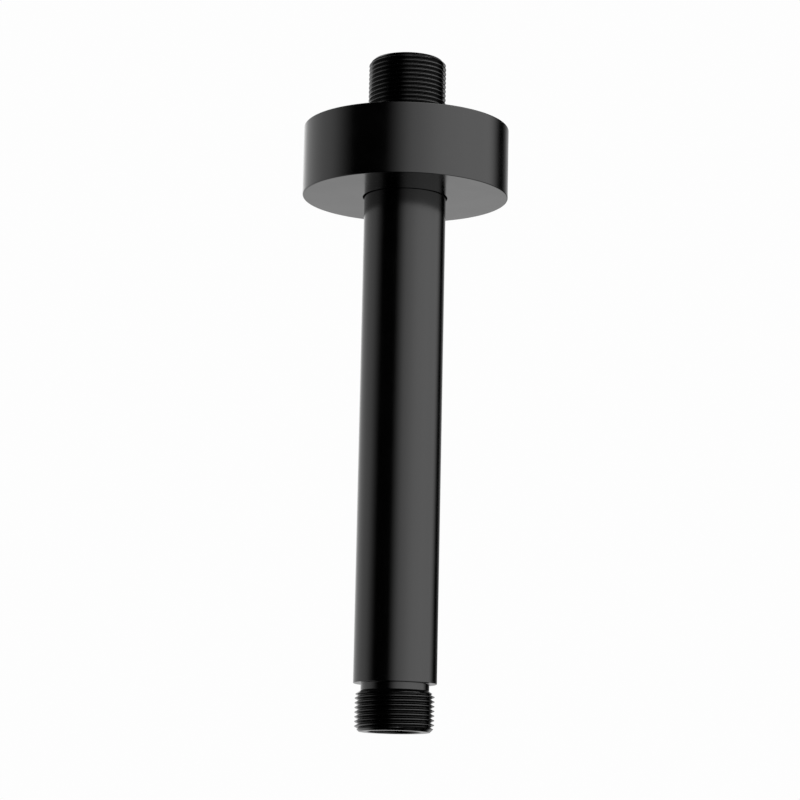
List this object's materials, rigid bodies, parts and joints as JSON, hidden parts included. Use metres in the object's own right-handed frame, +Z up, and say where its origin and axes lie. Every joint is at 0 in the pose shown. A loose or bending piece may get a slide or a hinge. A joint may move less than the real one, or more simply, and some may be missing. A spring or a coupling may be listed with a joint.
{
  "type": "shower arm",
  "caption": "Straight ceiling shower arm in gloss black: a tube with a male pipe thread at each end, and a loose round flange that slides along the tube to cover the ceiling hole.",
  "frame": {"origin": "on the arm's axis, in the plane of the ceiling where the flange's rim rests", "axes": "+Z up along the arm into the ceiling, with the arm hanging down -Z; X and Y level"},
  "size_m": [0.0554, 0.0554, 0.1816],
  "materials": {
    "black_coat": "gloss black coat on turned brass",
    "ring_rubber": "matt black rubber"
  },
  "bodies": {
    "arm": {"arm": "black_coat"},
    "ring": {"o_ring": "ring_rubber"},
    "cover": {"flange": "black_coat"}
  },
  "joints": [
    {"name": "flange_slide", "type": "slide", "parent": "arm", "child": "ring", "axis": [0, 0, 1], "range_m": [-0.1328, 0.0108]},
    {"name": "flange_turn", "type": "hinge", "parent": "ring", "child": "cover", "pos_m": [0, 0, 0], "axis": [0, 0, 1], "continuous": true}
  ]
}
